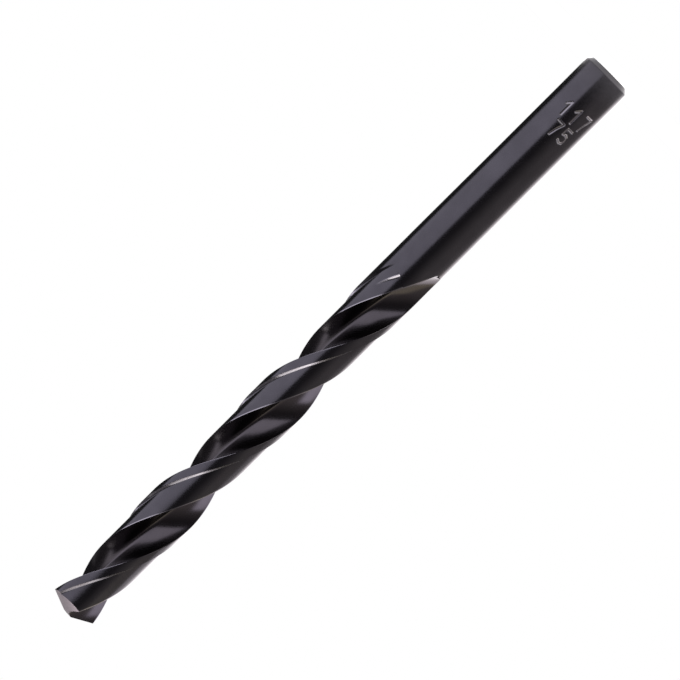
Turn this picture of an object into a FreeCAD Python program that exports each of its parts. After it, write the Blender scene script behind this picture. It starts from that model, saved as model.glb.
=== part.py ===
"""Straight-shank twist drill bit, 8.2 mm, made from one ground bar.

The bit stands on its shank end: the origin is the centre of the end face and +Z runs up the
axis to the point. It is modelled in the order in which such a bit is made: the bar is turned,
two right-hand helical flutes are milled and run out at the shank, the lands are relieved behind
their margins, and the point is ground as two cone flanks that meet in the chisel edge.
Angles round the axis are counted from the first cutting lip, against the clock seen from the
point, which is also the way that the bit turns when it cuts.
"""
import FreeCAD, Part
import Sketcher
import math
import os

NODE = "drill_bit"
ORIGIN = FreeCAD.Vector(0, 0, 0)
Z_AXIS = FreeCAD.Vector(0, 0, 1)

LEAST_CUT = 0.001       # volume in cubic millimetres that every step has to remove
LIP_STEPS = 12          # points along the lip side of a flute section
STATIONS_PER_TURN = 24  # sections along one turn of the helix

# name, value in millimetres or degrees, meaning
SIZES = [
    ("overall_length", 117.0, "shank end face to chisel edge"),
    ("drill_diameter", 8.2, "cutting diameter"),
    ("shank_diameter", 8.12, "shank diameter, a little under the cutting diameter"),
    ("body_past_flutes", 0.5, "end of the flutes to the shank end of the body"),
    ("shank_step", 1.0, "length of the slight cone from the body down to the shank"),
    ("shank_chamfer", 0.7, "chamfer at the shank end"),
    ("flute_length", 77.0, "chisel edge to the end of the flute run-out"),
    ("flute_lead", 47.0, "one full turn of the flutes along the axis"),
    ("milling_radius", 25.0, "radius of the wheel that mills the flutes"),
    ("heel_wall_radius", 0.6, "small radius of the flute beside the heel"),
    ("web_thickness", 1.25, "web between the flutes at the point"),
    ("web_growth", 0.6, "how much thicker the web is at the end of the flutes"),
    ("land_angle", 88.0, "width of each land round the axis"),
    ("margin_angle", 20.0, "width of each margin round the axis"),
    ("land_relief", 0.4, "depth of the relief behind the margin"),
    ("relief_stop", 4.2, "end of the land relief to the end of the flutes"),
    ("relief_ramp", 2.6, "end of the land relief to where its ramp starts"),
    ("relieving_radius", 18.0, "radius of the wheel that relieves the lands"),
    ("tongue_angle", 53.0, "leading corner to the tongue that ends the relief"),
    ("grinding_stock", 1.0, "length of bar that the grinding of the point takes off"),
    ("point_angle", 130.0, "angle of the point across both lips"),
    ("grinding_cone_angle", 60.0, "full angle of the cone that a flank is part of"),
    ("grinding_cone_offset", 21.7, "distance of that cone's apex behind the axis"),
    ("grinding_cone_skew", 4.4, "lead of that cone's ridge over the lip, for clearance"),
]

doc = FreeCAD.newDocument("twist_drill_bit")
sheet = doc.addObject("Spreadsheet::Sheet", "sizes")
for row, (name, value, meaning) in enumerate(SIZES, start=1):
    sheet.set("A%d" % row, name)
    sheet.set("B%d" % row, str(value))
    sheet.set("C%d" % row, meaning)
    sheet.setAlias("B%d" % row, name)
doc.recompute()

overall_length = sheet.overall_length
radius = sheet.drill_diameter / 2
relieved_radius = radius - sheet.land_relief
web_half = sheet.web_thickness / 2
lip_slope = 1 / math.tan(math.radians(sheet.point_angle / 2))
helix_angle = math.atan(2 * math.pi * radius / sheet.flute_lead)
tool_reach = 1.25 * radius      # how far out the milling solids go past the bar
above_point = 2.0               # how far they start above the chisel edge
past_flute_end = 0.6            # how far the milling solid goes on once it is clear of the bar
past_edge_angle = 12.0          # how far the relieving solids overlap the next space, in degrees


def polar(distance, angle, height=0.0):
    """Point at a distance from the axis, at an angle in radians."""
    return FreeCAD.Vector(distance * math.cos(angle), distance * math.sin(angle), height)


def twist_at(height):
    """Turn of the flutes at a height, in degrees: zero at the outer corner of the lips."""
    return 360 * (height - corner_height) / sheet.flute_lead


def drop_on_cone(x, y):
    """How far the first flank lies under the apex of its grinding cone, at a place in plan."""
    half = math.radians(sheet.grinding_cone_angle / 2)
    tilt = math.radians(sheet.point_angle / 2) - half
    beyond = x + sheet.grinding_cone_offset
    beside = y - web_half - sheet.grinding_cone_skew
    square = math.cos(tilt) ** 2 - math.cos(half) ** 2
    linear = -2 * beyond * math.sin(tilt) * math.cos(tilt)
    constant = (beyond * math.sin(tilt)) ** 2 - math.cos(half) ** 2 * (beyond ** 2 + beside ** 2)
    if abs(square) < 1e-9:
        return constant / linear
    return (linear + math.sqrt(linear ** 2 - 4 * square * constant)) / (2 * square)


# The cone's apex stands so high that the middle of the chisel edge is at full length
apex_height = overall_length + drop_on_cone(0, 0)

# The outer end of the lip, where the straight lip reaches the full diameter
lip_reach = math.sqrt(radius ** 2 - web_half ** 2)
corner_angle = math.asin(web_half / radius)
corner_height = apex_height - drop_on_cone(lip_reach, web_half)


# Turned blank
def turned_blank():
    """The bar with its chamfered shank end, left long at the point for grinding."""
    body = doc.addObject("PartDesign::Body", "turned_blank")
    body.Label = "turned blank"
    plane = [f for f in body.Origin.OriginFeatures if f.Role == "XZ_Plane"][0]
    sketch = body.newObject("Sketcher::SketchObject", "bar_outline")
    sketch.AttachmentSupport = [(plane, "")]
    sketch.MapMode = "FlatFace"
    chamfer = sheet.shank_chamfer
    shank_radius = sheet.shank_diameter / 2
    body_start = overall_length - sheet.flute_length - sheet.body_past_flutes
    shank_end = body_start - sheet.shank_step
    bar_length = overall_length + sheet.grinding_stock
    corners = [
        (0, 0), (shank_radius - chamfer, 0), (shank_radius, chamfer), (shank_radius, shank_end),
        (radius, body_start), (radius, bar_length), (0, bar_length)]
    for index, start in enumerate(corners):
        end = corners[(index + 1) % len(corners)]
        sketch.addGeometry(Part.LineSegment(FreeCAD.Vector(*start, 0), FreeCAD.Vector(*end, 0)))
    for index in range(len(corners)):
        following = (index + 1) % len(corners)
        sketch.addConstraint(Sketcher.Constraint("Coincident", index, 2, following, 1))
    sketch.addConstraint(Sketcher.Constraint("Coincident", 0, 1, -1, 1))
    for line, direction in enumerate(
            ["Horizontal", None, "Vertical", None, "Vertical", "Horizontal", "Vertical"]):
        if direction:
            sketch.addConstraint(Sketcher.Constraint(direction, line))
    body_bottom = "sizes.overall_length - sizes.flute_length - sizes.body_past_flutes"
    for name, kind, line, value, expression in [
        ("end_radius", "DistanceX", 0, shank_radius - chamfer,
         "sizes.shank_diameter / 2 - sizes.shank_chamfer"),
        ("chamfer_height", "DistanceY", 1, chamfer, "sizes.shank_chamfer"),
        ("shank_radius", "DistanceX", 1, shank_radius, "sizes.shank_diameter / 2"),
        ("shank_end", "DistanceY", 2, shank_end, body_bottom + " - sizes.shank_step"),
        ("body_start", "DistanceY", 3, body_start, body_bottom),
        ("body_radius", "DistanceX", 3, radius, "sizes.drill_diameter / 2"),
        ("bar_length", "DistanceY", 4, bar_length, "sizes.overall_length + sizes.grinding_stock"),
    ]:
        number = sketch.addConstraint(Sketcher.Constraint(kind, -1, 1, line, 2, value))
        sketch.renameConstraint(number, name)
        sketch.setExpression("Constraints." + name, expression)
    turning = body.newObject("PartDesign::Revolution", "turning")
    turning.Profile = sketch
    turning.ReferenceAxis = (sketch, ["V_Axis"])
    turning.Angle = 360
    return body


# Flutes
def flute_outline(height, lift):
    """Section of the milled flute at a height.

    The side of the cutting lip is the curve that makes the ground lip straight: each point of
    the lip, turned back along the helix to this section. It touches the web circle, where the
    small arc of the heel side takes over, and a straight wall runs out past the heel.
    """
    turn_per_length = 2 * math.pi / sheet.flute_lead * lip_slope
    outer_reach = math.sqrt(tool_reach ** 2 - web_half ** 2)
    lip_side = []
    for step in range(LIP_STEPS + 1):
        reach = outer_reach * (1 - step / LIP_STEPS)
        angle = math.atan2(web_half, reach) - turn_per_length * (lip_reach - reach)
        lip_side.append(polar(math.hypot(reach, web_half), angle))
    bottom = lip_side[-1]
    bottom_angle = math.atan2(bottom.y, bottom.x)
    centre = polar(web_half + sheet.heel_wall_radius, bottom_angle)
    heel = polar(radius, corner_angle + math.pi - math.radians(sheet.land_angle))
    to_heel = heel - centre
    touch_angle = math.atan2(to_heel.y, to_heel.x) + math.acos(sheet.heel_wall_radius / to_heel.Length)
    touch = centre + polar(sheet.heel_wall_radius, touch_angle)
    middle = centre + polar(sheet.heel_wall_radius, (touch_angle + bottom_angle + math.pi) / 2)
    wall = (heel - touch).normalize()
    along = wall.dot(touch)
    wall_end = touch + wall * (math.sqrt(along ** 2 + tool_reach ** 2 - touch.dot(touch)) - along)
    start_angle = math.atan2(lip_side[0].y, lip_side[0].x)
    end_angle = math.atan2(wall_end.y, wall_end.x)
    outside = polar(tool_reach, (start_angle + end_angle) / 2)

    curve = Part.BSplineCurve()
    curve.interpolate(lip_side)
    edges = [
        curve.toShape(),
        Part.Arc(bottom, middle, touch).toShape(),
        Part.LineSegment(touch, wall_end).toShape(),
        Part.Arc(wall_end, outside, lip_side[0]).toShape(),
    ]
    outline = Part.Wire(edges)
    outline.translate(wall * lift + Z_AXIS * height)
    outline.rotate(ORIGIN, Z_AXIS, twist_at(height))
    return outline


def flute_lift(height):
    """How far the wheel has risen at a height: slowly with the web, then clear of the bar."""
    flute_end = overall_length - sheet.flute_length
    full_depth = radius - web_half - sheet.web_growth / 2
    runout = math.sqrt(2 * sheet.milling_radius * full_depth - full_depth ** 2) * math.cos(helix_angle)
    runout_start = flute_end + runout
    growth = sheet.web_growth / 2 * (overall_length - height) / (overall_length - runout_start)
    if height >= runout_start:
        return growth
    travel = (runout_start - height) / math.cos(helix_angle)
    return sheet.web_growth / 2 + sheet.milling_radius - math.sqrt(sheet.milling_radius ** 2 - travel ** 2)


def stations(top, bottom):
    """Heights from top to bottom at which the sections of a helical solid stand."""
    count = math.ceil((top - bottom) / sheet.flute_lead * STATIONS_PER_TURN)
    return [top + (bottom - top) * index / count for index in range(count + 1)]


def flute_cutter():
    """What one pass of the wheel removes."""
    flute_end = overall_length - sheet.flute_length
    heights = stations(overall_length + above_point, flute_end - past_flute_end)
    return Part.makeLoft([flute_outline(z, flute_lift(z)) for z in heights], True, False)


# Land relief
def land_sector(leading, trailing, top, bottom):
    """Helical sector that follows one land, between two angles behind the leading corner."""
    outlines = []
    for height in stations(top, bottom):
        first = corner_angle - math.radians(leading)
        last = corner_angle - math.radians(trailing)
        middle = (first + last) / 2
        inside = radius - tool_reach + relieved_radius
        outline = Part.Wire([
            Part.Arc(*[polar(inside, a) for a in (last, middle, first)]).toShape(),
            Part.LineSegment(polar(inside, first), polar(tool_reach, first)).toShape(),
            Part.Arc(*[polar(tool_reach, a) for a in (first, middle, last)]).toShape(),
            Part.LineSegment(polar(tool_reach, last), polar(inside, last)).toShape(),
        ])
        outline.translate(Z_AXIS * height)
        outline.rotate(ORIGIN, Z_AXIS, twist_at(height))
        outlines.append(outline)
    return Part.makeLoft(outlines, True, False)


def rising_core(top, rise_start, bottom):
    """The round core that the relieving wheel leaves: it rises to the full radius at the shank."""
    rise = math.sqrt(2 * sheet.relieving_radius * sheet.land_relief - sheet.land_relief ** 2)
    wheel = FreeCAD.Vector(relieved_radius + sheet.relieving_radius, 0, rise_start)
    half_angle = math.asin(rise / sheet.relieving_radius) / 2
    halfway = wheel - FreeCAD.Vector(
        math.cos(half_angle), 0, math.sin(half_angle)) * sheet.relieving_radius
    corners = [
        FreeCAD.Vector(relieved_radius, 0, rise_start),
        FreeCAD.Vector(radius, 0, rise_start - rise),
        FreeCAD.Vector(2 * tool_reach, 0, rise_start - rise),
        FreeCAD.Vector(2 * tool_reach, 0, bottom),
        FreeCAD.Vector(0, 0, bottom),
        FreeCAD.Vector(0, 0, top),
        FreeCAD.Vector(relieved_radius, 0, top),
    ]
    edges = [Part.Arc(corners[0], halfway, corners[1]).toShape()]
    for start, end in zip(corners[1:], corners[2:] + corners[:1]):
        edges.append(Part.LineSegment(start, end).toShape())
    return Part.Face(Part.Wire(edges)).revolve(ORIGIN, Z_AXIS, 360)


def relief_cutter():
    """What the relieving of one land removes.

    Behind the margin the wheel rises out of the land in a gentle ramp. Beside the heel it stays
    at full depth to the end, in a tongue with a wall square to the helix.
    """
    relief_end = overall_length - sheet.flute_length + sheet.relief_stop
    rise_start = relief_end + sheet.relief_ramp
    top = overall_length + above_point
    bottom = relief_end - sheet.drill_diameter / 2
    past_heel = sheet.land_angle + past_edge_angle
    behind_margin = land_sector(
        sheet.margin_angle, sheet.tongue_angle, top, bottom)
    behind_margin = behind_margin.cut(
        rising_core(top + above_point, rise_start, bottom - above_point))
    beside_heel = land_sector(sheet.tongue_angle, past_heel, top, bottom)
    beside_heel = beside_heel.cut(Part.makeCylinder(
        relieved_radius, top - bottom + 2 * above_point, Z_AXIS * (bottom - above_point)))

    tongue_middle = twist_at(relief_end) + math.degrees(corner_angle)
    tongue_middle -= (sheet.tongue_angle + sheet.land_angle) / 2
    size = 4 * sheet.drill_diameter
    beyond = Part.makeBox(size, size, size, FreeCAD.Vector(-size / 2, -size / 2, -size))
    beyond.rotate(ORIGIN, FreeCAD.Vector(1, 0, 0), -math.degrees(helix_angle))
    beyond.rotate(ORIGIN, Z_AXIS, tongue_middle)
    beyond.translate(Z_AXIS * relief_end)
    return behind_margin.fuse(beside_heel.cut(beyond))


# Ground point
def flank_grinding(number):
    """What the wheel takes off one flank: all that lies outside the tilted cone."""
    half = math.radians(sheet.grinding_cone_angle / 2)
    tilt = math.radians(sheet.point_angle / 2) - half
    apex = FreeCAD.Vector(
        -sheet.grinding_cone_offset, web_half + sheet.grinding_cone_skew, apex_height)
    turn = FreeCAD.Rotation(Z_AXIS, 180 * number)
    cone = doc.addObject("Part::Cone", "grinding_cone_%d" % (number + 1))
    cone.Radius1 = 0
    cone.setExpression("Height", "3 * sizes.grinding_cone_offset")
    cone.setExpression("Radius2", "Height * tan(sizes.grinding_cone_angle / 2 * 1deg)")
    leaning = FreeCAD.Rotation(Z_AXIS, FreeCAD.Vector(math.sin(tilt), 0, -math.cos(tilt)))
    cone.Placement = FreeCAD.Placement(turn.multVec(apex), turn.multiply(leaning))
    stock = doc.addObject("Part::Cylinder", "point_stock_%d" % (number + 1))
    stock.setExpression("Radius", "sizes.drill_diameter")
    stock.setExpression("Height", "sizes.drill_diameter")
    stock.setExpression(
        "Placement.Base.z", "sizes.overall_length + sizes.grinding_stock - sizes.drill_diameter")
    ground = doc.addObject("Part::Cut", "flank_grinding_%d" % (number + 1))
    ground.Base = stock
    ground.Tool = cone
    return ground


def cutter_pair(label, cutter):
    """The same cut on both sides of the axis, as one tool."""
    opposite = cutter.copy()
    opposite.rotate(ORIGIN, Z_AXIS, 180)
    pair = doc.addObject("Part::Feature", label)
    pair.Shape = Part.makeCompound([cutter, opposite])
    return pair


def cut(label, base, tool):
    """One step of the making: the tool is taken off the piece."""
    step = doc.addObject("Part::Cut", label)
    step.Base = base
    step.Tool = tool
    doc.recompute()
    if step.Shape.Volume > base.Shape.Volume - LEAST_CUT:
        raise RuntimeError("%s removes nothing" % label)
    return step


blank = turned_blank()
doc.recompute()
relieved = cut("relieved_lands", blank, cutter_pair("relief_cutters", relief_cutter()))
fluted = cut("fluted_bar", relieved, cutter_pair("flute_cutters", flute_cutter()))
first_flank = cut("first_flank_ground", fluted, flank_grinding(0))
drill_bit = cut(NODE, first_flank, flank_grinding(1))
drill_bit.Label = NODE
doc.recompute()

for thing in doc.Objects:
    if "Invalid" in thing.State or "Error" in thing.State:
        raise RuntimeError("%s failed: %s" % (thing.Name, thing.State))
shape = drill_bit.Shape
if shape.isNull() or not shape.isValid() or len(shape.Solids) != 1:
    raise RuntimeError("the drill bit isn't one valid solid: %d solids" % len(shape.Solids))
os.makedirs("parts", exist_ok=True)
shape.exportStep("parts/%s.step" % NODE)
print("%s: one solid, volume %.1f mm3, %d faces" % (NODE, shape.Volume, len(shape.Faces)))
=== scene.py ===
import bpy
import math
import numpy as np
from mathutils import Matrix, Vector
from mathutils.geometry import delaunay_2d_cdt


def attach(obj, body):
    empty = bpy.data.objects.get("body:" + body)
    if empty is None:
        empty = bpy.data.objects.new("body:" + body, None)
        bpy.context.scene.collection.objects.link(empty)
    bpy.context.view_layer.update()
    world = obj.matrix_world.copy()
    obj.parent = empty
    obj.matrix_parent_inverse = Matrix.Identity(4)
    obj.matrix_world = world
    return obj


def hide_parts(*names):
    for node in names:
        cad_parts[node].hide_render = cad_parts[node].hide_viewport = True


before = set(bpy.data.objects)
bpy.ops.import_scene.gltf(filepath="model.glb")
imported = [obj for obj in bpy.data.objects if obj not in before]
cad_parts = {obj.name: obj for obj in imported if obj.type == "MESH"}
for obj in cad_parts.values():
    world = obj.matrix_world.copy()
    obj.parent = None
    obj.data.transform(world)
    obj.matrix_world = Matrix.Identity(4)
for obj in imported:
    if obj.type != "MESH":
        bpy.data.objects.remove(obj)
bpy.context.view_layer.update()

# Sizes of the bit in millimetres and radians, the same as in the part's source.
# Heights are measured from the end face of the shank.
MM = 0.001
LENGTH = 117.0
RADIUS = 4.1
SHANK_RADIUS = 4.06
CHAMFER = 0.7
FLUTE_END = 40.0
BODY_END = 39.5
SHANK_END = 38.5
LEAD = 47.0
MILLING_RADIUS = 25.0
HEEL_WALL_RADIUS = 0.6
WEB_HALF = 0.625
WEB_GROWTH = 0.6
LAND_ANGLE = math.radians(88)
MARGIN_ANGLE = math.radians(20)
RELIEVED_RADIUS = 3.7
RELIEF_END = 44.2
TONGUE_ANGLE = math.radians(53)
POINT_HALF_ANGLE = math.radians(65)
CONE_HALF_ANGLE = math.radians(30)
CONE_OFFSET = 21.7
CONE_SKEW = 4.4

# Forms that are finer here than in the solid
TAPER_START = 18.0          # height at which the shank begins to widen towards the body
RELIEF_RAMP = 3.8           # length of the ramp that ends the relief on the tongue
RAMP_POWER = 1.3            # more than 1 makes the ramp steeper towards its end
EDGE = 0.07                 # size of a rounded edge
FILLET = math.radians(5)    # width of the fillets at the steps of the tongue and the margin
FILLET_POWER = 1.25         # more than 1 makes the fillets hollow
FLUTE_ROUNDING = 6          # passes that soften the flute's section

# Fineness of the mesh
FLUTE_COLUMNS = 60
LAND_STEPS = 14
MARGIN_STEPS = 10
ROW = 0.45
MEDIUM_ROW = 0.224
FINE_ROW = 0.14
RUNOUT_ROWS = 18
TOP_ROWS = 16
LAST_RING = SHANK_END - 0.2
LOWEST_ROW = SHANK_END + 0.1
LOWEST_FLUTE = FLUTE_END + 0.02
FINE_START = FLUTE_END + 1
ABOVE_RELIEF = 4
WALL_GAP = 0.02
TOP_ZONE = 111.0
EVEN_ZONE = 58.0

TURN = 2 * math.pi / LEAD
HELIX = math.atan(TURN * RADIUS)
TOOL_REACH = 1.25 * RADIUS
LIP_SLOPE = 1 / math.tan(POINT_HALF_ANGLE)
LIP_REACH = math.sqrt(RADIUS ** 2 - WEB_HALF ** 2)
CORNER_ANGLE = math.asin(WEB_HALF / RADIUS)
SLANT = RADIUS * math.sin(HELIX) * math.cos(HELIX)


def polar(distance, angle):
    """Points in plan at distances and angles."""
    return np.stack([distance * np.cos(angle), distance * np.sin(angle)], -1)


def clamp(value):
    return min(max(value, 0.0), 1.0)


def smooth(share):
    """The same share with a soft beginning and end."""
    return share * share * (3 - 2 * share)


# The point: two cones
def drop_on_cone(x, y):
    """How far the first flank lies under the apex of its grinding cone, at places in plan."""
    tilt = POINT_HALF_ANGLE - CONE_HALF_ANGLE
    beyond = x + CONE_OFFSET
    beside = y - WEB_HALF - CONE_SKEW
    width = math.cos(CONE_HALF_ANGLE) ** 2
    square = math.cos(tilt) ** 2 - width
    linear = -2 * beyond * math.sin(tilt) * math.cos(tilt)
    constant = (beyond * math.sin(tilt)) ** 2 - width * (beyond ** 2 + beside ** 2)
    return (linear + np.sqrt(linear ** 2 - 4 * square * constant)) / (2 * square)


APEX_HEIGHT = LENGTH + drop_on_cone(0.0, 0.0)
CORNER_HEIGHT = APEX_HEIGHT - drop_on_cone(LIP_REACH, WEB_HALF)


def flank_height(x, y):
    """Height of the ground point: the lower of the two cones."""
    return APEX_HEIGHT - np.maximum(drop_on_cone(x, y), drop_on_cone(-x, -y))


def twist(height):
    """Turn of the flutes at a height, against the corner of the lip."""
    return TURN * (height - CORNER_HEIGHT)


# The flute: its section, the rise of the wheel and the line that it leaves at a height
def flute_profile():
    """Section of the flute, from outside the bar down the lip side, round the small arc and out."""
    outer_reach = math.sqrt(TOOL_REACH ** 2 - WEB_HALF ** 2)
    reach = np.linspace(outer_reach, 0, 200)
    lip_angle = np.arctan2(WEB_HALF, reach) - TURN * LIP_SLOPE * (LIP_REACH - reach)
    lip_side = polar(np.hypot(reach, WEB_HALF), lip_angle)
    bottom_angle = math.pi / 2 - TURN * LIP_SLOPE * LIP_REACH
    centre = polar(WEB_HALF + HEEL_WALL_RADIUS, bottom_angle)
    heel = polar(RADIUS, CORNER_ANGLE + math.pi - LAND_ANGLE)
    to_heel = heel - centre
    heel_turn = math.acos(HEEL_WALL_RADIUS / np.hypot(*to_heel))
    touch_angle = math.atan2(to_heel[1], to_heel[0]) + heel_turn
    arc_angles = np.linspace(bottom_angle + math.pi, touch_angle, 40)[1:]
    arc = centre + polar(HEEL_WALL_RADIUS, arc_angles)
    wall = (heel - arc[-1]) / np.hypot(*(heel - arc[-1]))
    outward = arc[-1] + np.outer(np.linspace(0, 2.4 * RADIUS, 160)[1:], wall)
    return np.concatenate([lip_side, arc, outward]), wall


PROFILE, WALL = flute_profile()


def flute_lift(height):
    """How far the wheel has risen at a height: slowly with the web, then clear of the bar."""
    full_depth = RADIUS - WEB_HALF - WEB_GROWTH / 2
    runout = math.sqrt(2 * MILLING_RADIUS * full_depth - full_depth ** 2) * math.cos(HELIX)
    runout_start = FLUTE_END + runout
    if height >= runout_start:
        return WEB_GROWTH / 2 * (LENGTH - height) / (LENGTH - runout_start)
    travel = (runout_start - height) / math.cos(HELIX)
    return WEB_GROWTH / 2 + MILLING_RADIUS - math.sqrt(MILLING_RADIUS ** 2 - travel ** 2)


def body_radius(height):
    """Outer radius of the bar, with a long taper from the shank to the body that leaves no line."""
    share = clamp((height - TAPER_START) / (BODY_END - TAPER_START))
    return SHANK_RADIUS + (RADIUS - SHANK_RADIUS) * smooth(share)


def crossing(line, reach, inside, outside, radius):
    """Point at a radius, between a point of a line inside it and the next one outside it."""
    share = (radius - reach[inside]) / (reach[outside] - reach[inside])
    return line[inside] + share * (line[outside] - line[inside])


def flute_line(height):
    """Points of one flute from the leading edge to the heel, evenly spaced, at a height."""
    height = max(height, LOWEST_FLUTE)
    outer = body_radius(height)
    heel_radius = land_radius(LAND_ANGLE, height)
    line = PROFILE + flute_lift(height) * WALL
    reach = np.hypot(line[:, 0], line[:, 1])
    bottom = int(np.argmin(reach))
    first = bottom + 1 - int(np.argmax(reach[bottom::-1] >= outer))
    last = bottom - 1 + int(np.argmax(reach[bottom:] >= heel_radius))
    start = crossing(line, reach, first, first - 1, outer)
    end = crossing(line, reach, last, last + 1, heel_radius)
    points = np.concatenate([[start], line[first:last + 1], [end]])
    lengths = np.concatenate([[0], np.cumsum(np.hypot(*np.diff(points, axis=0).T))])
    trim = min(EDGE, lengths[-1] / 4)
    places = np.linspace(trim, lengths[-1] - trim, FLUTE_COLUMNS + 1)
    inner = np.stack([np.interp(places, lengths, points[:, axis]) for axis in (0, 1)], 1)
    for _ in range(FLUTE_ROUNDING):
        inner[1:-1] = 0.25 * inner[:-2] + 0.5 * inner[1:-1] + 0.25 * inner[2:]
    return start, inner, end


# The land: margin, relief, and the tongue that ends the relief square to the helix.
# Places on it are given by their angle behind the leading edge.
def past_relief(behind, height):
    """How far below the end of the relief a place of the land is."""
    middle = (TONGUE_ANGLE + LAND_ANGLE) / 2
    return RELIEF_END + SLANT * (behind - middle) - height


def land_radius(behind, height):
    """Radius of the land beyond the margin. The relief ends in a wall at the heel, else in a ramp."""
    outer = body_radius(height)
    travel = past_relief(behind, height)
    if travel > 0:
        return outer
    if behind > TONGUE_ANGLE:
        return RELIEVED_RADIUS
    share = clamp(1 + travel / RELIEF_RAMP)
    return RELIEVED_RADIUS + (outer - RELIEVED_RADIUS) * share ** RAMP_POWER


def land_columns():
    """Columns of the land: angle behind the leading edge, rise of the fillet, and if on the margin."""
    shares = np.array([1, 0.86, 0.7, 0.52, 0.34, 0.16, 0])
    fillet = [(FILLET * share, (1 - share) ** FILLET_POWER) for share in shares]
    relieved = np.linspace(LAND_ANGLE, TONGUE_ANGLE + FILLET, LAND_STEPS)[1:-1]
    tongue = np.linspace(TONGUE_ANGLE, MARGIN_ANGLE + FILLET, LAND_STEPS)[1:-1]
    margin = np.linspace(MARGIN_ANGLE, 0, MARGIN_STEPS)[:-1]
    just_behind = TONGUE_ANGLE + 1e-4       # off the tongue, so that its step belongs to the relief
    columns = [(angle, 0.0, False) for angle in relieved]
    columns += [(just_behind + angle, rise, False) for angle, rise in fillet]
    columns += [(angle, 0.0, False) for angle in tongue]
    columns += [(MARGIN_ANGLE + angle, rise, False) for angle, rise in fillet[:-1]]
    columns += [(angle, 1.0, True) for angle in margin]
    return columns


def step_radii(behind, height):
    """Radius of the low and the high side of the step that a place of the land belongs to."""
    low = land_radius(behind, height)
    high = body_radius(height) if behind < TONGUE_ANGLE else land_radius(TONGUE_ANGLE, height)
    return low, max(low, high)


def column_radius(behind, rise, height):
    """Radius of the land at a column: a fillet climbs from the low to the high side of each step."""
    low, high = step_radii(behind, height)
    return low + rise * (high - low)


# Columns of half a section: the heel's edge, the land, two for the leading edge, and the flute
LAND_COLUMNS = land_columns()
LAND_START = 1
FLUTE_START = LAND_START + len(LAND_COLUMNS) + 2
HALF_COLUMNS = FLUTE_START + FLUTE_COLUMNS + 1


def half_section(height):
    """One land and the flute ahead of it, as points in the frame that turns with the flutes."""
    scale = body_radius(height) / body_radius(max(height, LOWEST_FLUTE))
    start, flute, end = (points * scale for points in flute_line(height))
    lead_angle = math.atan2(start[1], start[0])
    heel_angle = math.atan2(end[1], end[0]) - math.pi
    outer = body_radius(height)
    heel_radius = land_radius(LAND_ANGLE, height)
    beside_heel = polar(heel_radius - EDGE / 3, heel_angle + math.pi)
    points = [-0.5 * end - 0.5 * beside_heel]
    shift_heel = heel_angle + EDGE / RADIUS - (CORNER_ANGLE - LAND_ANGLE)
    shift_lead = lead_angle - EDGE / RADIUS - CORNER_ANGLE
    for behind, rise, on_margin in LAND_COLUMNS:
        share = (LAND_ANGLE - behind) / (LAND_ANGLE - MARGIN_ANGLE)
        if on_margin:
            angle = CORNER_ANGLE - behind + shift_lead * (1 - behind / MARGIN_ANGLE)
        else:
            angle = CORNER_ANGLE - behind + shift_heel * max(0.0, 1 - share * 2)
        points.append(polar(column_radius(behind, rise, height), angle))
    beside_lead = polar(outer, lead_angle - EDGE / RADIUS)
    points.append(beside_lead)
    points.append(0.25 * beside_lead + 0.25 * flute[0] + 0.5 * start)
    points.extend(flute)
    points = np.array(points)
    if height <= FLUTE_END:
        points *= (outer / np.hypot(points[:, 0], points[:, 1]))[:, None]
    return points


def slant_of_columns():
    """Height that each column gains over its row, which makes the rows square to the helix."""
    half = LAND_ANGLE / 2
    slants = [SLANT * half]
    slants += [SLANT * (behind - half) for behind, _, _ in LAND_COLUMNS]
    slants += [-SLANT * half] * 2
    slants += list(SLANT * half * -np.cos(np.linspace(0, math.pi, FLUTE_COLUMNS + 1)))
    return np.array(slants)


def row_heights():
    """Heights of the body's rows, which are closest at the run-out and the end of the relief."""
    wall = RELIEF_END + SLANT * (LAND_ANGLE / 2 - (TONGUE_ANGLE + LAND_ANGLE) / 2)
    even_start = wall + ABOVE_RELIEF
    fine_rows = int((wall - FINE_START) / FINE_ROW)
    medium_rows = int(ABOVE_RELIEF / MEDIUM_ROW)
    even_rows = int((TOP_ZONE - even_start) / ROW)
    runout = np.linspace(LOWEST_ROW, FINE_START, RUNOUT_ROWS)
    below = np.linspace(FINE_START, wall - WALL_GAP, fine_rows)
    above = np.linspace(wall + WALL_GAP, even_start, medium_rows)
    even = np.linspace(even_start, TOP_ZONE, even_rows)
    return np.concatenate([runout, below[1:], above, even[1:]])


SECTIONS = {}


def section_at(height):
    """Half section at a height; in the even zone it changes little, so it is kept per millimetre."""
    if height not in SECTIONS:
        if height > EVEN_ZONE and height != round(height):
            low = math.floor(height)
            share = height - low
            return (1 - share) * section_at(low) + share * section_at(low + 1)
        SECTIONS[height] = half_section(height)
    return SECTIONS[height]


def place(column, height):
    """Point of a column at a height, turned with the flutes."""
    x, y = section_at(height)[column]
    turn = twist(max(height, FLUTE_END))
    cosine, sine = math.cos(turn), math.sin(turn)
    return x * cosine - y * sine, x * sine + y * cosine, height


def top_of_column(column):
    """Height at which a column meets the ground point."""
    low, high = TOP_ZONE, LENGTH + 1
    while high - low > 1e-5:
        middle = (low + high) / 2
        x, y, _ = place(column, middle)
        if middle < flank_height(x, y):
            low = middle
        else:
            high = middle
    return low


# Rows are level at the shank and become square to the helix over this length
LEVEL_UP_TO = SHANK_END + 0.3
SLANTING_LENGTH = 4.2


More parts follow.
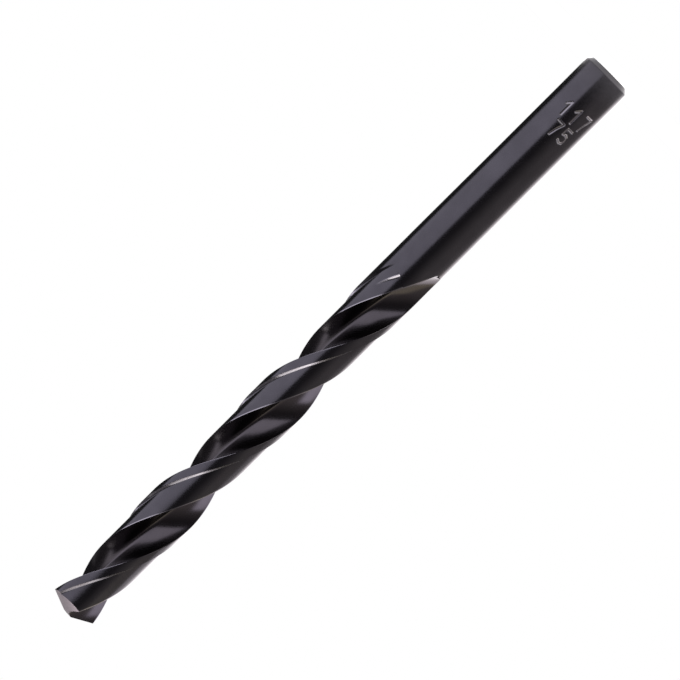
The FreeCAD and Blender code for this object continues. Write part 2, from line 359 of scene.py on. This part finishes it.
def fluted_rows():
    """Rows of points of the body, from the shank up to the ground point."""
    slants = slant_of_columns()
    columns = range(HALF_COLUMNS)
    rows = []
    for height in row_heights():
        slanted = smooth(clamp((height - LEVEL_UP_TO) / SLANTING_LENGTH))
        rows.append([place(j, float(height + slants[j] * slanted)) for j in columns])
    tops = [top_of_column(j) for j in columns]
    starts = TOP_ZONE + slants
    for share in np.linspace(0, 1, TOP_ROWS + 1)[1:]:
        rows.append([place(j, float(starts[j] + (tops[j] - starts[j]) * share)) for j in columns])
    half = np.array(rows)
    return np.concatenate([half, half * np.array([-1, -1, 1])], 1)


# The plain shank, with figures pressed into it: the overall length and that of the flutes.
# Each figure is drawn in a cell that is 1 wide and 1 high, from its lower left corner.
FIGURE_HEIGHT = 2.5
FIGURE_WIDTH = 1.2
FIGURE_PITCH = 2.0
STROKE = 0.16
STROKE_DEPTH = 0.09
FIGURE_ROWS = [("117", 8.3), ("75", 11.6)]
FIGURES_ANGLE = math.radians(-82)
FIGURES_REACH = math.radians(48)
FIGURE_CELL = 0.07
FIGURE_BORDER = 0.3
PLAIN_COLUMNS = 90
PLAIN_ROWS = 40
ROW_SPREAD = 2.2
FIGURE_STROKES = {
    "1": [(0.05, 0.72), (0.55, 1), (0.55, 0)],
    "5": [(0.92, 1), (0.12, 1), (0.06, 0.56), (0.5, 0.63), (0.86, 0.52), (0.98, 0.3),
          (0.84, 0.08), (0.46, 0), (0.04, 0.12)],
    "7": [(0.02, 1), (1, 1), (0.62, 0.5), (0.4, 0)],
}


def distance_to_segment(x, y, start, end):
    """Distances of places from a straight stroke."""
    along = np.subtract(end, start)
    share = ((x - start[0]) * along[0] + (y - start[1]) * along[1]) / np.dot(along, along)
    share = np.clip(share, 0, 1)
    return np.hypot(x - start[0] - share * along[0], y - start[1] - share * along[1])


def figure_segments():
    """Ends of all the straight strokes, across the shank and along it."""
    segments = []
    for text, middle in FIGURE_ROWS:
        bottom = middle + FIGURE_HEIGHT / 2
        for index, figure in enumerate(text):
            left = (index - (len(text) - 1) / 2) * FIGURE_PITCH - FIGURE_WIDTH / 2
            strokes = FIGURE_STROKES[figure]
            ends = [(left + x * FIGURE_WIDTH, bottom - y * FIGURE_HEIGHT) for x, y in strokes]
            segments += zip(ends, ends[1:])
    return segments


def figure_depth(across, height):
    """Depth of the figures: across runs to the reader's right, and tops point to the end face.

    It is full up to half a stroke's width from the stroke's line, and nothing beyond 1.5 widths.
    """
    nearest = np.full(np.shape(across), 9.0)
    for start, end in figure_segments():
        nearest = np.minimum(nearest, distance_to_segment(across, height, start, end))
    return STROKE_DEPTH * smooth(np.clip(1.5 - nearest / STROKE, 0, 1))


def ring_at(radius, angles, height):
    """Row of points round the axis; the radius is one number or one for each angle."""
    return np.column_stack([polar(radius, angles), np.full(len(angles), height)])


def shank_heights():
    """Heights of the shank's rows beyond the chamfer, close together at the figures."""
    low = min(middle for _, middle in FIGURE_ROWS) - FIGURE_HEIGHT / 2 - FIGURE_BORDER
    high = max(middle for _, middle in FIGURE_ROWS) + FIGURE_HEIGHT / 2 + FIGURE_BORDER
    return np.concatenate([
        [CHAMFER + EDGE / 2, CHAMFER + 2 * EDGE],
        np.linspace(CHAMFER + 5 * EDGE, low, 6)[:-1],
        np.arange(low, high, FIGURE_CELL),
        high + (LAST_RING - high) * np.linspace(0, 1, PLAIN_ROWS) ** ROW_SPREAD])


def shank_rows():
    """Rings of the shank from its end face up to where the body's rows begin."""
    fine = np.arange(-FIGURES_REACH, FIGURES_REACH, FIGURE_CELL / SHANK_RADIUS)
    rest = np.linspace(FIGURES_REACH, 2 * math.pi - FIGURES_REACH, PLAIN_COLUMNS)[:-1]
    angles = FIGURES_ANGLE + np.concatenate([fine, rest])
    inner_edge = SHANK_RADIUS - CHAMFER
    end_and_chamfer = [
        (inner_edge - 4 * EDGE, 0.0),
        (inner_edge - EDGE / 2, 0.0),
        (inner_edge + EDGE / 2, EDGE / 2),
        (inner_edge + 2 * EDGE, 2 * EDGE),
        (SHANK_RADIUS - 2 * EDGE, CHAMFER - 2 * EDGE),
        (SHANK_RADIUS - EDGE / 2, CHAMFER - EDGE / 2)]
    rows = [ring_at(radius, angles, height) for radius, height in end_and_chamfer]
    from_figures = np.mod(angles - FIGURES_ANGLE + math.pi, 2 * math.pi) - math.pi
    across = -from_figures * SHANK_RADIUS
    for height in shank_heights():
        depth = figure_depth(across, np.full(len(angles), height))
        rows.append(ring_at(body_radius(height) - depth, angles, height))
    return rows


# Bare metal and painted glints, as a share from 0 to 1 at each point that lightens the oxide towards bare
# steel
CHAMFER_WEAR_AND_SHEEN = 0.22
FIGURE_WEAR_AND_GLINT = 0.5
FILLET_WEAR_AND_GLINT = 3
GLINT_FULL_STEP = 0.3
MARGIN_GLINT_START = 46
MARGIN_GLINT_LENGTH = 5
EDGE_GLINT_START = FLUTE_END + 0.6


def bare_and_glint_of_shank(row):
    """Bare metal and painted light on a row of the shank: the chamfer lightened, partly as a painted
    reflection, and the figures' strokes lightened as painted glints on bare metal.
    """
    # The chamfer lightened towards bare metal: partly wear, partly a painted reflection
    if row[0][2] < CHAMFER:
        return [CHAMFER_WEAR_AND_SHEEN] * len(row)
    # Painted glints: the strokes of the figures lightened towards bare metal by their depth
    depths = [body_radius(z) - math.hypot(x, y) for x, y, z in row]
    return [FIGURE_WEAR_AND_GLINT * clamp(depth / STROKE_DEPTH) for depth in depths]


def bare_and_glint_of_row(row):
    """Bare metal and painted glints on a row of the body: light lines painted on the edges of the flutes
    and on the fillets of the steps.
    """
    bare_and_glint_shares = [0.0] * HALF_COLUMNS
    for column, (behind, rise, on_margin) in enumerate(LAND_COLUMNS, LAND_START):
        height = row[column][2]
        low, high = step_radii(behind, height)
        # Painted glint: the fillets of the tongue's and the margin's steps are lightened towards bare
        # metal, fully where the step is tall, and on the margin only from 46 mm up
        if rise > 0 and not on_margin:
            at_tongue = behind > TONGUE_ANGLE
            glint_fade_in = 1.0 if at_tongue else clamp((height - MARGIN_GLINT_START) / MARGIN_GLINT_LENGTH)
            bare_and_glint_shares[column] = glint_fade_in * min(1.0, FILLET_WEAR_AND_GLINT * rise) * min(1.0, (high - low) / GLINT_FULL_STEP)
    # Edges of the flutes lightened towards bare metal from just above the flutes' end: partly wear, partly
    # a painted highlight along the edge
    for column in (0, FLUTE_START - 1):
        bare_and_glint_shares[column] = clamp(row[column][2] - EDGE_GLINT_START)
    return bare_and_glint_shares * 2


# One mesh from all of it
GROUND, MILLED, POINT = 0, 1, 2


class Builder:
    """Collects points with their share of bare metal and painted glint, and faces with their material and
    surface places.
    """

    def __init__(self):
        self.points = []
        self.bare_and_glint_shares = []
        self.faces = []
        self.kinds = []
        self.surface = []

    def add_row(self, row, bare_and_glint_shares=None):
        start = len(self.points)
        self.points.extend(tuple(float(v) for v in point) for point in row)
        self.bare_and_glint_shares.extend([0.0] * len(row) if bare_and_glint_shares is None else bare_and_glint_shares)
        return list(range(start, start + len(row)))

    def add_face(self, corners, kind, places):
        self.faces.append(corners)
        self.kinds.append(kind)
        self.surface.append(places)


def add_band(builder, lower, upper, kinds, places, low, high):
    """Quads between two closed rows of the same length."""
    count = len(lower)
    for j in range(count):
        k = (j + 1) % count
        corners = (lower[j], lower[k], upper[k], upper[j])
        left, right = places[j], places[j + 1]
        builder.add_face(corners, kinds[j], ((left, low), (right, low), (right, high), (left, high)))


def stitch(builder, lower, upper):
    """Triangles between two closed rows of different lengths, matched by their angles."""
    def angle(i):
        return math.atan2(builder.points[i][1], builder.points[i][0])

    lower, upper = sorted(lower, key=angle), sorted(upper, key=angle)
    low_angles = [angle(i) for i in lower] + [angle(lower[0]) + 2 * math.pi]
    high_angles = [angle(i) for i in upper] + [angle(upper[0]) + 2 * math.pi]
    a = b = 0
    one_place = ((0, 0), (0.1, 0), (0.1, 0.1))
    while a < len(lower) or b < len(upper):
        step_low = b == len(upper) or (a < len(lower) and low_angles[a + 1] <= high_angles[b + 1])
        first, second = lower[a % len(lower)], upper[b % len(upper)]
        if step_low:
            a += 1
            third = lower[a % len(lower)]
        else:
            b += 1
            third = upper[b % len(upper)]
        builder.add_face((first, third, second), GROUND, one_place)


# Mesh of the point: its cell, and how far the cells keep from the rim and the chisel edge
POINT_CELL = 0.22
RIM_GAP = 0.12
CREST_GAP = 0.09
CREST_START = 0.06
CREST_REACH = 0.82


def crest_points():
    """Points of the chisel edge from the axis outwards, where the two cones are equally high."""
    points = []
    for distance in np.linspace(CREST_START, CREST_REACH, 12):
        low, high = 0.0, math.pi / 2
        while high - low > 1e-5:
            middle = (low + high) / 2
            x, y = distance * math.cos(middle), distance * math.sin(middle)
            if drop_on_cone(x, y) > drop_on_cone(-x, -y):
                low = middle
            else:
                high = middle
        points.append((distance * math.cos(low), distance * math.sin(low)))
    return points


def inside(x, y, outline):
    """Whether a point lies inside a closed outline."""
    crossings = 0
    for (ax, ay), (bx, by) in zip(outline, np.roll(outline, -1, axis=0)):
        if (ay > y) != (by > y) and x < ax + (y - ay) / (by - ay) * (bx - ax):
            crossings += 1
    return crossings % 2 == 1


def point_grid(outline, crest):
    """Cells of the point that lie clear of its rim and of the chisel edge."""
    grid = []
    for x in np.arange(-RADIUS, RADIUS, POINT_CELL):
        for y in np.arange(-RADIUS, RADIUS, POINT_CELL):
            off_rim = np.min(np.hypot(outline[:, 0] - x, outline[:, 1] - y))
            off_crest = min(math.hypot(x - cx, y - cy) for cx, cy in crest)
            if off_rim > RIM_GAP and off_crest > CREST_GAP and inside(x, y, outline):
                grid.append((x, y))
    return grid


def add_point(builder, rim):
    """The two flanks, filled in from the rim of the body with the chisel edge as a crease."""
    outline = np.array([builder.points[i][:2] for i in rim])
    count = len(rim)
    far = crest_points()
    crest = [(-x, -y) for x, y in reversed(far)] + far
    crest = [point for point in crest if inside(*point, outline)]
    places = [Vector(point) for point in (*outline, *crest, *point_grid(outline, crest))]
    edges = [(i, (i + 1) % count) for i in range(count)]
    edges += [(count + i, count + i + 1) for i in range(len(crest) - 1)]
    for end in (count, count + len(crest) - 1):
        nearest = min(range(count), key=lambda i: (places[i] - places[end]).length)
        edges.append((end, nearest))
    found, _, triangles, origin, _, _ = delaunay_2d_cdt(places, edges, [list(range(count))], 1, 1e-7)
    numbers = []
    for index, point in enumerate(found):
        source = min(origin[index]) if origin[index] else count
        if source < count:
            numbers.append(rim[source])
        else:
            height = flank_height(point.x, point.y)
            numbers.append(builder.add_row([(point.x, point.y, height)])[0])
    for triangle in triangles:
        corners = tuple(numbers[i] for i in triangle)
        if len(set(corners)) == len(corners):
            builder.add_face(corners, POINT, tuple((found[i].x, found[i].y) for i in triangle))


def add_shank(builder):
    """The shank with its closed end face. Gives its last row, which the body joins."""
    rows = [builder.add_row(row, bare_and_glint_of_shank(row)) for row in shank_rows()]
    count = len(rows[0])
    places = np.linspace(0, 2 * math.pi * SHANK_RADIUS, count + 1)
    heights = [builder.points[row[0]][2] for row in rows]
    for lower, upper, low, high in zip(rows, rows[1:], heights, heights[1:]):
        add_band(builder, lower, upper, [GROUND] * count, places, low, high)
    middle = builder.add_row([(0, 0, 0)])[0]
    for j in range(count):
        corners = (middle, rows[0][(j + 1) % count], rows[0][j])
        builder.add_face(corners, GROUND, tuple(builder.points[i][:2] for i in corners))
    return rows[-1]


def add_body(builder):
    """The fluted body up to the rim of the point. Gives its first and last rows."""
    rows = fluted_rows()
    body = [builder.add_row(row, bare_and_glint_of_row(row)) for row in rows]
    sample = rows[len(rows) // 2]
    steps = np.hypot(*np.diff(np.concatenate([sample, sample[:1]]), axis=0)[:, :2].T)
    places = np.concatenate([[0], np.cumsum(steps)])
    half_kinds = [GROUND] * (FLUTE_START - 1) + [MILLED] * (HALF_COLUMNS - FLUTE_START + 1)
    top_heights = np.linspace(TOP_ZONE, CORNER_HEIGHT, TOP_ROWS + 1)[1:]
    heights = [*row_heights(), *top_heights]
    for lower, upper, low, high in zip(body, body[1:], heights, heights[1:]):
        add_band(builder, lower, upper, half_kinds * 2, places, low, high)
    return body[0], body[-1]


def drill_bit_mesh():
    """The whole bit, with surface coordinates in millimetres and its share of bare metal and painted glint
    at each point.
    """
    builder = Builder()
    shank_top = add_shank(builder)
    body_bottom, rim = add_body(builder)
    add_point(builder, rim)
    stitch(builder, shank_top, body_bottom)

    mesh = bpy.data.meshes.new("drill_bit_detail")
    in_metres = [tuple(v * MM for v in point) for point in builder.points]
    mesh.from_pydata(in_metres, [], builder.faces)
    mesh.polygons.foreach_set("material_index", builder.kinds)
    layer = mesh.uv_layers.new(name="surface")
    layer.data.foreach_set("uv", [float(v) for places in builder.surface for pair in places for v in pair])
    # Share of bare metal and painted glint at each point
    bare_and_glint = mesh.attributes.new("bare_and_glint", "FLOAT", "POINT")
    bare_and_glint.data.foreach_set("value", builder.bare_and_glint_shares)
    mesh.validate(clean_customdata=False)
    mesh.shade_smooth()
    mesh.set_sharp_from_angle(angle=math.radians(32))
    return mesh


detail = bpy.data.objects.new("drill_bit_detail", drill_bit_mesh())
bpy.context.scene.collection.objects.link(detail)
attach(detail, "root")
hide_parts("drill_bit")


# Black oxide on ground steel
# Colour of bare steel, also mixed in to paint glints on the fillets, flute edges and figures and a painted
# reflection on the chamfer
BARE_METAL_AND_GLINT = (0.42, 0.4, 0.42)
PATCHES_PER_METRE = 260.0
LINE_DEPTH = 0.00001


def noise(nodes, links, vector, scale, detail_level):
    """Noise at a vector."""
    texture = nodes.new("ShaderNodeTexNoise")
    texture.inputs["Scale"].default_value = scale
    texture.inputs["Detail"].default_value = detail_level
    links.new(vector, texture.inputs["Vector"])
    return texture.outputs["Fac"]


def patchy(nodes, links, patches, colour):
    """The colour, a little darker and lighter in patches."""
    tones = nodes.new("ShaderNodeValToRGB")
    dark, light = tones.color_ramp.elements
    dark.position = 0.35
    dark.color = (*[c * 0.92 for c in colour], 1)
    light.position = 0.68
    light.color = (*[c * 1.1 for c in colour], 1)
    links.new(patches, tones.inputs["Fac"])
    return tones.outputs["Color"]


def with_bare_metal_and_glints(nodes, links, colour, bare_and_glint_share):
    """A colour lightened towards bare metal where the mesh holds bare metal and painted glints."""
    bare_and_glint = nodes.new("ShaderNodeAttribute")
    bare_and_glint.attribute_name = "bare_and_glint"
    share = nodes.new("ShaderNodeMath")
    share.operation = "MULTIPLY"
    share.inputs[1].default_value = bare_and_glint_share
    links.new(bare_and_glint.outputs["Fac"], share.inputs[0])
    mix = nodes.new("ShaderNodeMix")
    mix.data_type = "RGBA"
    links.new(share.outputs["Value"], mix.inputs["Factor"])
    links.new(colour, mix.inputs["A"])
    mix.inputs["B"].default_value = (*BARE_METAL_AND_GLINT, 1)
    return mix.outputs["Result"]


def oxide(name, colour, roughness, stretch, bump, bare_and_glint_share):
    """Dark, slightly violet steel with fine grinding lines along one surface direction."""
    material = bpy.data.materials.new(name)
    material.use_nodes = True
    nodes, links = material.node_tree.nodes, material.node_tree.links
    shader = nodes["Principled BSDF"]
    shader.inputs["Metallic"].default_value = 1.0
    surface = nodes.new("ShaderNodeUVMap")
    surface.uv_map = "surface"
    stretched = nodes.new("ShaderNodeMapping")
    stretched.inputs["Scale"].default_value = (*stretch, 1)
    links.new(surface.outputs["UV"], stretched.inputs["Vector"])
    lines = noise(nodes, links, stretched.outputs["Vector"], 1.0, 6.0)
    in_space = nodes.new("ShaderNodeTexCoord")
    patches = noise(nodes, links, in_space.outputs["Object"], PATCHES_PER_METRE, 5.0)

    rough = nodes.new("ShaderNodeMapRange")
    rough.inputs["To Min"].default_value = roughness[0]
    rough.inputs["To Max"].default_value = roughness[1]
    links.new(lines, rough.inputs["Value"])
    links.new(rough.outputs["Result"], shader.inputs["Roughness"])
    black = patchy(nodes, links, patches, colour)
    links.new(with_bare_metal_and_glints(nodes, links, black, bare_and_glint_share), shader.inputs["Base Color"])

    relief = nodes.new("ShaderNodeBump")
    relief.inputs["Strength"].default_value = bump
    relief.inputs["Distance"].default_value = LINE_DEPTH
    links.new(lines, relief.inputs["Height"])
    links.new(relief.outputs["Normal"], shader.inputs["Normal"])
    return material


# Name, colour, least and most roughness, stretch of the lines, bump and share of bare metal and painted
# glint, in the order of GROUND, MILLED and POINT
OXIDES = [
    ("black_oxide_ground", (0.048, 0.046, 0.051), (0.14, 0.26), (0.6, 26), 0.3, 0.7),
    ("black_oxide_milled", (0.053, 0.048, 0.051), (0.14, 0.26), (14, 0.5), 0.3, 0.6),
    ("black_oxide_point", (0.34, 0.295, 0.315), (0.28, 0.42), (2, 26), 0.5, 0.0),
]
for row in OXIDES:
    detail.data.materials.append(oxide(*row))

# Floor: a round white plate, small enough to leave the shank its dark mirror of the room
FLOOR_RADIUS = 0.045
FLOOR_SIDES = 96
FLOOR_WHITE = 0.8
FLOOR_GLOW = 0.8
floor_mesh = bpy.data.meshes.new("floor")
floor_angles = np.linspace(0, 2 * math.pi, FLOOR_SIDES + 1)[:-1]
floor_rim = [(FLOOR_RADIUS * math.cos(a), FLOOR_RADIUS * math.sin(a), 0) for a in floor_angles]
floor_mesh.from_pydata(floor_rim, [], [tuple(range(FLOOR_SIDES))])
floor = bpy.data.objects.new("floor", floor_mesh)
bpy.context.scene.collection.objects.link(floor)


def shown_rays(nodes, links):
    """A factor that is 1 for rays from the camera, in reflections and through glass."""
    path = nodes.new("ShaderNodeLightPath")
    total = path.outputs["Is Camera Ray"]
    for name in ("Is Glossy Ray", "Is Transmission Ray"):
        add = nodes.new("ShaderNodeMath")
        add.operation = "MAXIMUM"
        links.new(total, add.inputs[0])
        links.new(path.outputs[name], add.inputs[1])
        total = add.outputs["Value"]
    return total


def floor_paint():
    """White that glows for the camera and in mirrors, and lights nothing else."""
    paint = bpy.data.materials.new("floor_white")
    paint.use_nodes = True
    nodes, links = paint.node_tree.nodes, paint.node_tree.links
    shader = nodes["Principled BSDF"]
    shader.inputs["Base Color"].default_value = (FLOOR_WHITE, FLOOR_WHITE, FLOOR_WHITE, 1)
    shader.inputs["Roughness"].default_value = 0.9
    shader.inputs["Specular IOR Level"].default_value = 0.0
    shader.inputs["Emission Color"].default_value = (1, 1, 1, 1)
    glow = nodes.new("ShaderNodeMath")
    glow.operation = "MULTIPLY"
    glow.inputs[1].default_value = FLOOR_GLOW
    links.new(shown_rays(nodes, links), glow.inputs[0])
    links.new(glow.outputs["Value"], shader.inputs["Emission Strength"])
    return paint


floor_mesh.materials.append(floor_paint())

# Camera, at the photograph's angle: it looks a little up at the bit, which leans in the picture
AZIMUTH = math.radians(24.136)
ELEVATION = math.radians(-4.693)
ROLL = math.radians(-134.887)
DISTANCE = 497.13
FOCAL_PX = 3263.6
PICTURE_PX = 680
SENSOR = 36
AIM_HEIGHT = 57.39
AIM_SIDE = 0.171
toward_camera = Vector((math.sin(AZIMUTH), -math.cos(AZIMUTH), 0))
side = Vector((math.cos(AZIMUTH), math.sin(AZIMUTH), 0))
back = math.cos(ELEVATION) * toward_camera + Vector((0, 0, math.sin(ELEVATION)))
above = back.cross(side)
right = math.cos(ROLL) * side + math.sin(ROLL) * above
up = -math.sin(ROLL) * side + math.cos(ROLL) * above
camera_place = Vector((0, 0, AIM_HEIGHT)) + AIM_SIDE * side + DISTANCE * back
camera_turn = Matrix((right, up, back)).transposed().to_4x4()
camera = bpy.data.objects.new("camera", bpy.data.cameras.new("camera"))
bpy.context.scene.collection.objects.link(camera)
camera.data.sensor_width = SENSOR
camera.data.lens = FOCAL_PX / PICTURE_PX * SENSOR
camera.data.clip_start = 0.01
camera.matrix_world = Matrix.Translation(camera_place * MM) @ camera_turn
bpy.context.scene.camera = camera

# One large soft lamp that hangs upright, high up on the camera's side
LAMP_DISTANCE = 0.2
LAMP_HEIGHT = 0.9
LAMP_SIZE = 0.8
LAMP_RADIANCE = 0.5
softbox = bpy.data.lights.new("top", "AREA")
softbox.shape = "RECTANGLE"
softbox.size = LAMP_SIZE
softbox.size_y = LAMP_SIZE
softbox.energy = LAMP_RADIANCE * math.pi * LAMP_SIZE ** 2
lamp = bpy.data.objects.new("top", softbox)
lamp_place = Matrix.Translation(toward_camera * LAMP_DISTANCE + Vector((0, 0, LAMP_HEIGHT)))
lamp.matrix_world = lamp_place @ toward_camera.to_track_quat("Z", "Y").to_matrix().to_4x4()
bpy.context.scene.collection.objects.link(lamp)

# The room that the metal mirrors: colours of its walls by bearing in degrees.
# Bearing 0 is the camera's side and 90 the side that the first lip points to.
ROOM = [
    (-180, 2.0, 1.85, 1.92),
    (-135, 1.9, 1.75, 1.8),
    (-124, 0.66, 0.6, 0.59),
    (-60, 0.6, 0.55, 0.54),
    (-12, 0.13, 0.12, 0.13),
    (112, 0.1, 0.1, 0.11),
    (118, 0.05, 0.05, 0.05),
    (166, 0.05, 0.05, 0.05),
    (174, 1.0, 0.97, 1.0),
    (180, 1.0, 0.97, 1.0),
]
# Soft light panels on the walls: bearing from and to, elevation of the lower and the upper edge,
# slope of each edge, softness of the edges and colour
PANELS = [
    (14, 115, -41, 7.5, 0.42, 0.3, 3, (1.9, 1.85, 2.1)),
    (-8, 60, 32, 43, -0.26, -0.28, 4, (1.95, 1.9, 2.05)),
    (-100, -12, 30, 40, 0.12, 0.12, 6, (4.0, 3.9, 3.9)),
    (-112, -46, -42, -10, 0, -0.2, 8, (3.2, 3.1, 3.6)),
    (-100, -50, 14, 28, 0, 0, 6, (1.5, 1.38, 1.05)),
    (-175, -100, 10, 50, 0, 0, 8, (3.6, 3.4, 3.5)),
]
world = bpy.data.worlds.new("studio")
bpy.context.scene.world = world
world.use_nodes = True
world_nodes, world_links = world.node_tree.nodes, world.node_tree.links
direction = world_nodes.new("ShaderNodeTexCoord").outputs["Generated"]


def component(axis):
    """Dot product of the ray's direction with an axis of the room."""
    node = world_nodes.new("ShaderNodeVectorMath")
    node.operation = "DOT_PRODUCT"
    node.inputs[1].default_value = tuple(axis)
    world_links.new(direction, node.inputs[0])
    return node.outputs["Value"]


def calculate(operation, first, second=None):
    """Math node of two outputs or numbers."""
    node = world_nodes.new("ShaderNodeMath")
    node.operation = operation
    for socket, value in zip(node.inputs, (first, second)):
        if isinstance(value, bpy.types.NodeSocket):
            world_links.new(value, socket)
        elif value is not None:
            socket.default_value = value
    return node.outputs["Value"]


def ramp_up(value, middle, softness):
    """0 below a value and 1 above it, with a soft edge."""
    node = world_nodes.new("ShaderNodeMapRange")
    node.interpolation_type = "SMOOTHSTEP"
    node.inputs["From Min"].default_value = middle - softness / 2
    node.inputs["From Max"].default_value = middle + softness / 2
    world_links.new(value, node.inputs["Value"])
    return node.outputs["Result"]


def ramp_down(value, middle, softness):
    """1 below a value and 0 above it, with a soft edge."""
    return calculate("SUBTRACT", 1.0, ramp_up(value, middle, softness))


def room_walls(bearing):
    """Colour of the walls at a bearing."""
    walls = world_nodes.new("ShaderNodeValToRGB")
    stops = walls.color_ramp.elements
    for index, (angle, *colour) in enumerate(ROOM):
        position = (angle + 180) / 360
        stop = stops[index] if index < 2 else stops.new(position)
        stop.position = position
        stop.color = (*colour, 1)
    share = calculate("DIVIDE", calculate("ADD", bearing, 180.0), 360.0)
    world_links.new(share, walls.inputs["Fac"])
    return walls.outputs["Color"]


def mixed(factor, first, second):
    """Colour that goes from an output to a plain colour as the factor goes from 0 to 1."""
    mix = world_nodes.new("ShaderNodeMix")
    mix.data_type = "RGBA"
    world_links.new(factor, mix.inputs["Factor"])
    world_links.new(first, mix.inputs["A"])
    mix.inputs["B"].default_value = (*second, 1)
    return mix.outputs["Result"]


def inside_panel(bearing, elevation, panel):
    """1 inside a panel and 0 outside it."""
    start, end, low, high, low_slope, high_slope, softness = panel
    across = calculate("SUBTRACT", bearing, start)
    from_low = calculate("SUBTRACT", elevation, calculate("MULTIPLY", across, low_slope))
    from_high = calculate("SUBTRACT", elevation, calculate("MULTIPLY", across, high_slope))
    above_low = ramp_up(from_low, low, softness)
    under_high = ramp_down(from_high, high, softness)
    past_start = ramp_up(bearing, start, softness)
    before_end = ramp_down(bearing, end, softness)
    in_width = calculate("MULTIPLY", past_start, before_end)
    in_height = calculate("MULTIPLY", above_low, under_high)
    return calculate("MULTIPLY", in_width, in_height)


def room_light():
    """Colour of the room in the ray's direction, and plain white for the camera."""
    bearing = calculate("DEGREES", calculate("ARCTAN2", component(side), component(toward_camera)))
    elevation = calculate("DEGREES", calculate("ARCSINE", component((0, 0, 1))))
    light = room_walls(bearing)
    for *panel, colour in PANELS:
        light = mixed(inside_panel(bearing, elevation, panel), light, colour)
    path = world_nodes.new("ShaderNodeLightPath")
    return mixed(path.outputs["Is Camera Ray"], light, (1, 1, 1))


world_links.new(room_light(), world_nodes["Background"].inputs["Color"])
bpy.context.scene.view_settings.view_transform = "Standard"
